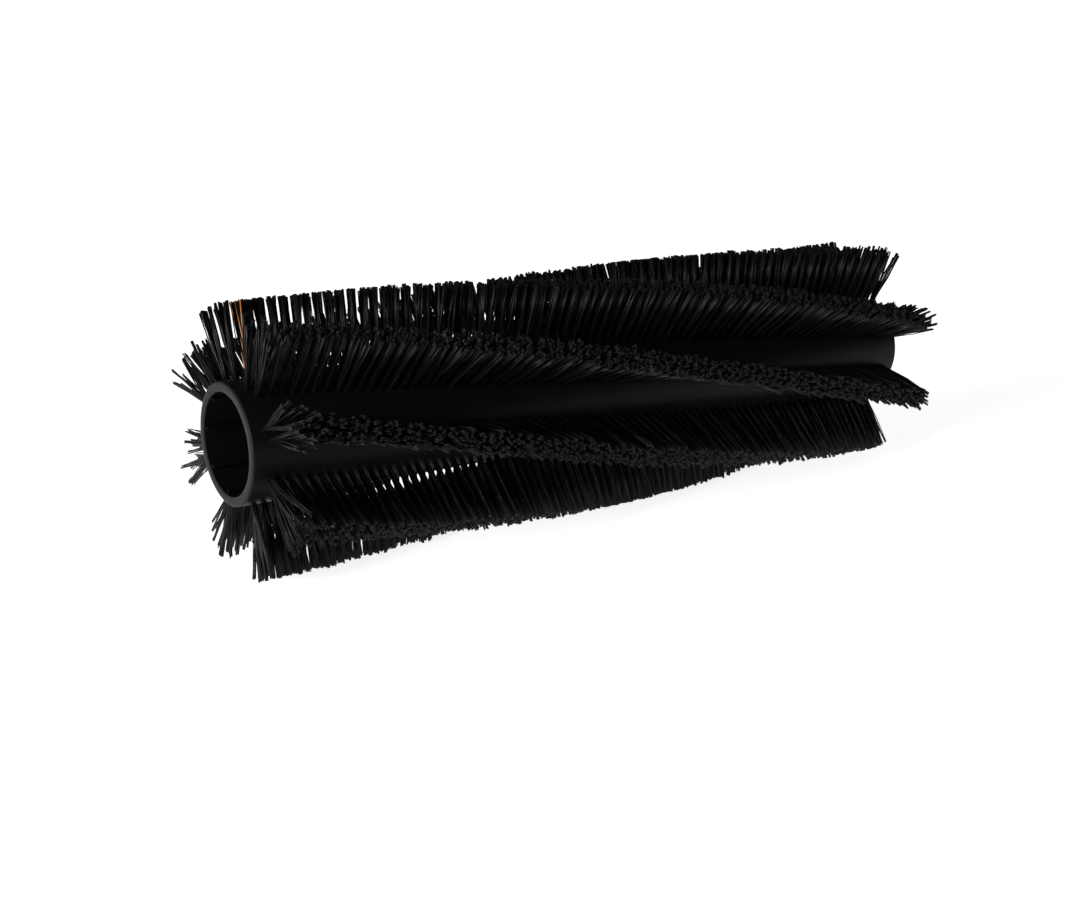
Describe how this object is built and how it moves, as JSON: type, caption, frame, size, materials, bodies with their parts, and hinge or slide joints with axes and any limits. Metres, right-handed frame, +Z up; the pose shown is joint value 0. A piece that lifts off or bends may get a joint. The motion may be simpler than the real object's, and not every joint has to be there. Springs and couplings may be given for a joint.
{
  "type": "cylindrical floor scrubber brush",
  "caption": "Cylindrical main brush for a floor scrubber or sweeper: a ribbed plastic core tube with stapled bristle tufts in twisted double rows.",
  "frame": {"origin": "the middle of the core tube's axis", "axes": "+X along the core tube's axis, +Z up; angles are turned about +X from +Z by the right-hand rule"},
  "size_m": [0.914, 0.286, 0.286],
  "materials": {
    "core_plastic": "satin black moulded plastic tube, faint lengthwise drawing marks, cut end faces slightly greyer",
    "bristles": "black synthetic filaments with a soft sheen, a few amber filaments in one tuft",
    "staple_wire": "flat galvanised anchor wire"
  },
  "bodies": {
    "root": {"core_tube": "core_plastic", "row_1_leading_tufts": "bristles", "row_1_trailing_tufts": "bristles", "row_2_leading_tufts": "bristles", "row_2_trailing_tufts": "bristles", "row_3_leading_tufts": "bristles", "row_3_trailing_tufts": "bristles", "row_4_leading_tufts": "bristles", "row_4_trailing_tufts": "bristles", "row_5_leading_tufts": "bristles", "row_5_trailing_tufts": "bristles", "row_6_leading_tufts": "bristles", "row_6_trailing_tufts": "bristles", "row_7_leading_tufts": "bristles", "row_7_trailing_tufts": "bristles", "row_8_leading_tufts": "bristles", "row_8_trailing_tufts": "bristles", "row_1_leading_staples": "staple_wire", "row_1_trailing_staples": "staple_wire", "row_2_leading_staples": "staple_wire", "row_2_trailing_staples": "staple_wire", "row_3_leading_staples": "staple_wire", "row_3_trailing_staples": "staple_wire", "row_4_leading_staples": "staple_wire", "row_4_trailing_staples": "staple_wire", "row_5_leading_staples": "staple_wire", "row_5_trailing_staples": "staple_wire", "row_6_leading_staples": "staple_wire", "row_6_trailing_staples": "staple_wire", "row_7_leading_staples": "staple_wire", "row_7_trailing_staples": "staple_wire", "row_8_leading_staples": "staple_wire", "row_8_trailing_staples": "staple_wire"}
  },
  "joints": []
}
